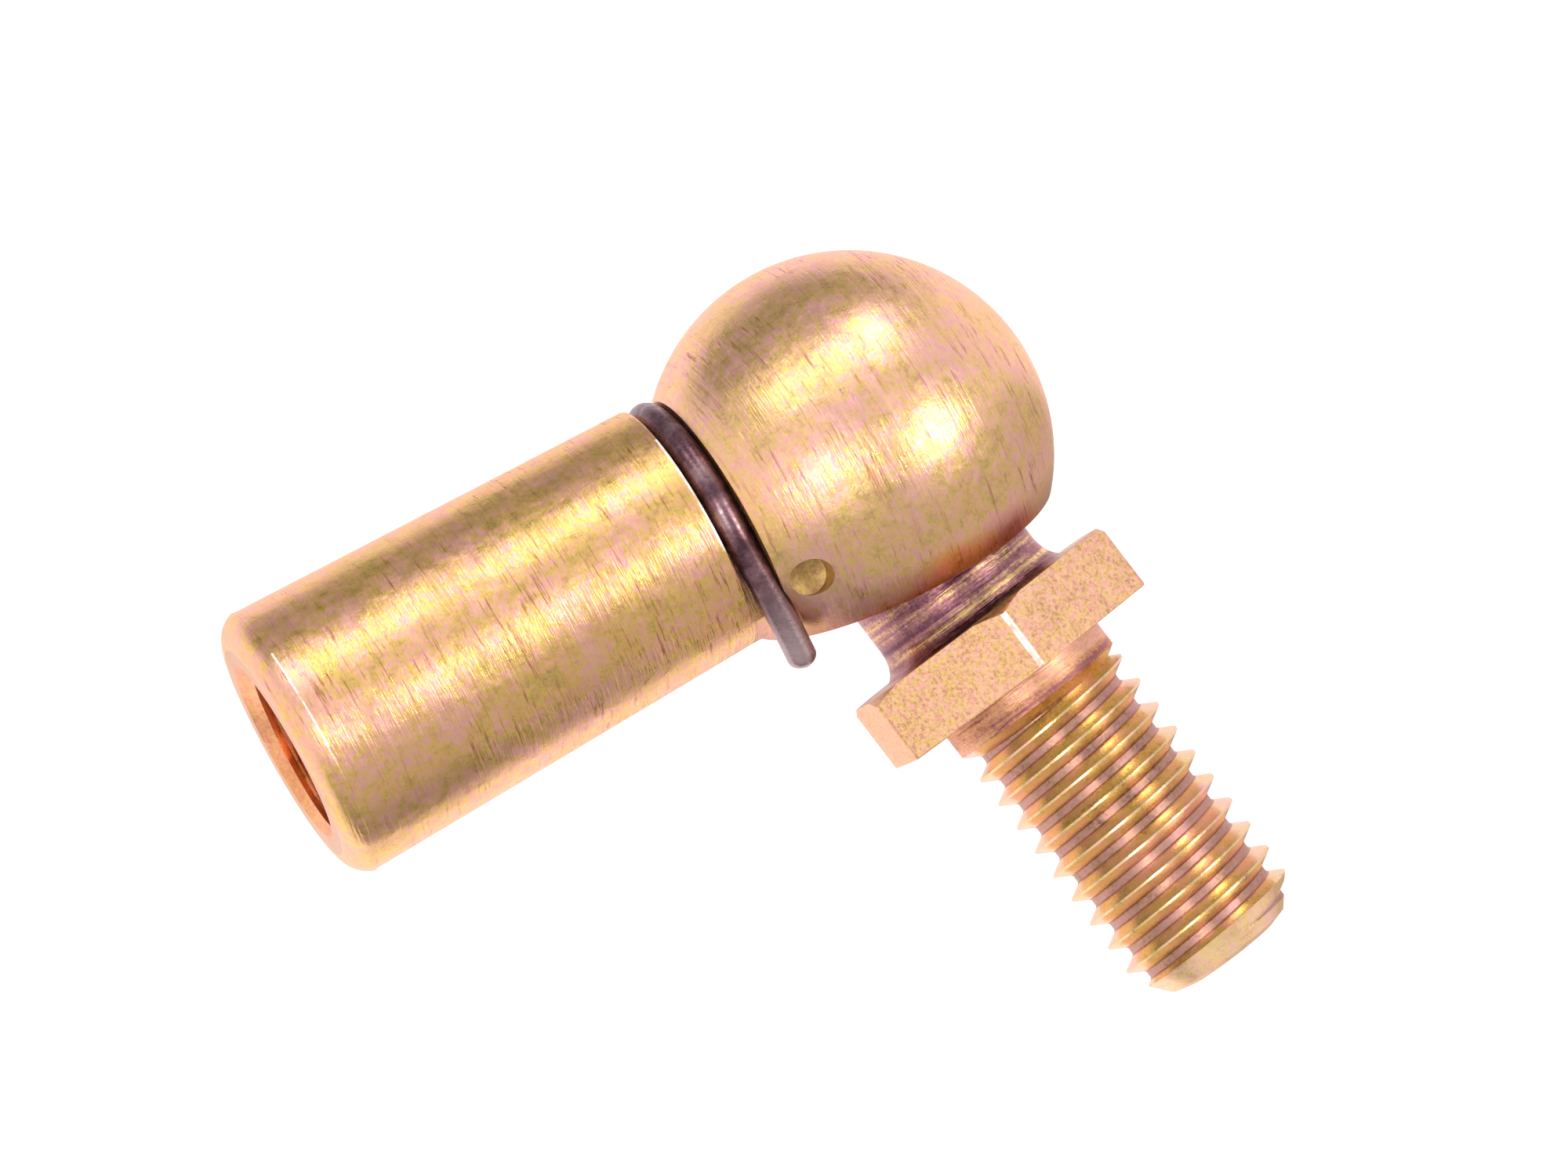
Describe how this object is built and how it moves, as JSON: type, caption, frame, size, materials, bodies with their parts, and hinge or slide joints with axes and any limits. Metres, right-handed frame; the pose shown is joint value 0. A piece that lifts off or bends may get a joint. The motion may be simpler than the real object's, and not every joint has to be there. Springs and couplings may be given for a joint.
{
  "type": "angled ball joint rod end",
  "caption": "Angled rod end: a threaded shank with a round socket that holds a threaded ball stud, a snap ring in the socket and a wire safety clip round the neck.",
  "frame": {"origin": "centre of the shank's open end face, on the threaded bore's axis", "axes": "+X runs along the shank from its open end to the head; +Z points away from the socket's mouth, so the stud hangs towards -Z; +Y makes the frame right-handed"},
  "size_m": [0.0352, 0.019, 0.034],
  "materials": {
    "socket_zinc": "turned, yellow chromate over zinc, iridescent pink and olive patches",
    "stud_zinc": "yellow chromate over zinc, grainy hexagon and bright rolled thread",
    "ring_steel": "plain spring steel, lightly oiled",
    "clip_steel": "dark blued spring wire, semi-gloss"
  },
  "bodies": {
    "socket": {"ball_socket": "socket_zinc", "safety_clip": "clip_steel"},
    "ring": {"snap_ring": "ring_steel"},
    "stud": {"ball_stud": "stud_zinc"}
  },
  "joints": [
    {"name": "ring_turn", "type": "hinge", "parent": "socket", "child": "ring", "pos_m": [0.02674, 0, -0.00065], "axis": [0, 0, 1], "continuous": true},
    {"name": "stud_tilt", "type": "hinge", "parent": "ring", "child": "stud", "pos_m": [0.02674, 0, -0.00065], "axis": [-0.8942, -0.4478, 0], "range_deg": [-36.14, 0]}
  ]
}
